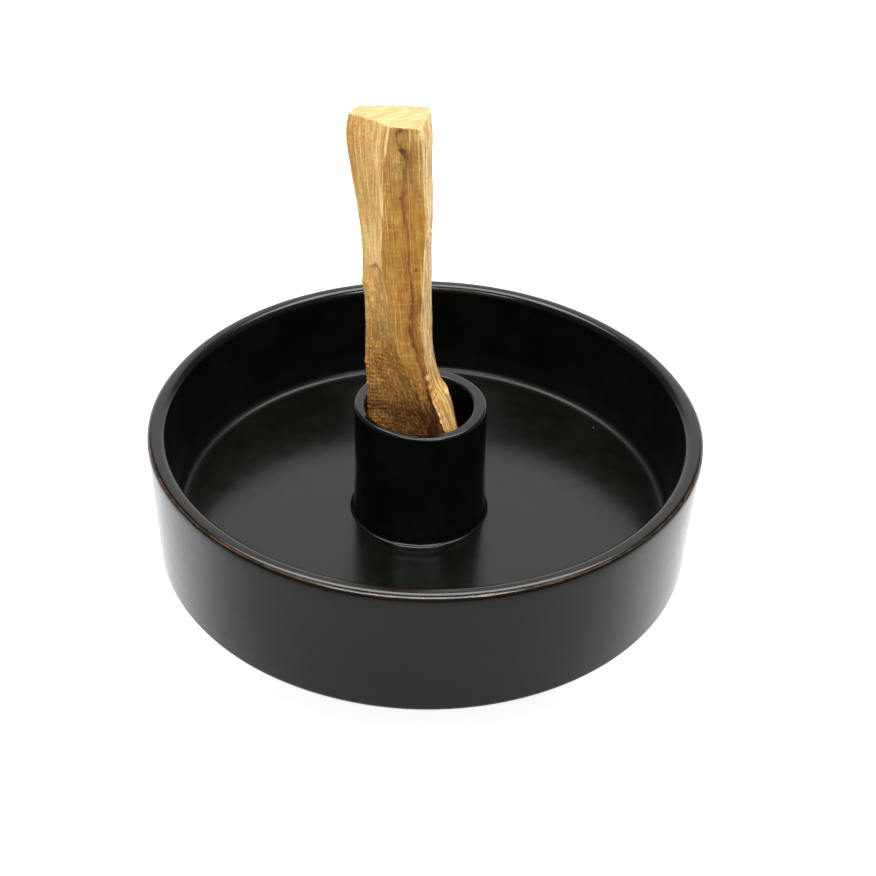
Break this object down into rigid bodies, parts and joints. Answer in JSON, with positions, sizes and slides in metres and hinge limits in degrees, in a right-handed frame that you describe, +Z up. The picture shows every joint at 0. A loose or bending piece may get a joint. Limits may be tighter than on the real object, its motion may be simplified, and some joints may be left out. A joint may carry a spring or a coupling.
{
  "type": "incense burner",
  "caption": "Round black glazed ceramic tray with a central upright cup that holds a loose split palo santo stick, which lifts out upwards.",
  "frame": {"origin": "centre of the tray's foot ring, on the surface it stands on", "axes": "+Z up out of the table; +X to the right and +Y away as seen from the side where the stick leans to the left; the tray is round about Z"},
  "size_m": [0.125, 0.125, 0.1053],
  "materials": {
    "black_glaze": "satin black glaze over brown stoneware, breaking brown on the rim edge",
    "palo_santo_wood": "raw split wood, unsealed"
  },
  "bodies": {
    "burner": {"tray": "black_glaze", "cup": "black_glaze"},
    "loose_stick": {"stick": "palo_santo_wood"}
  },
  "joints": [
    {"name": "stick_lift", "type": "slide", "parent": "burner", "child": "loose_stick", "axis": [0, 0, 1], "range_m": [0, 0.045]}
  ]
}
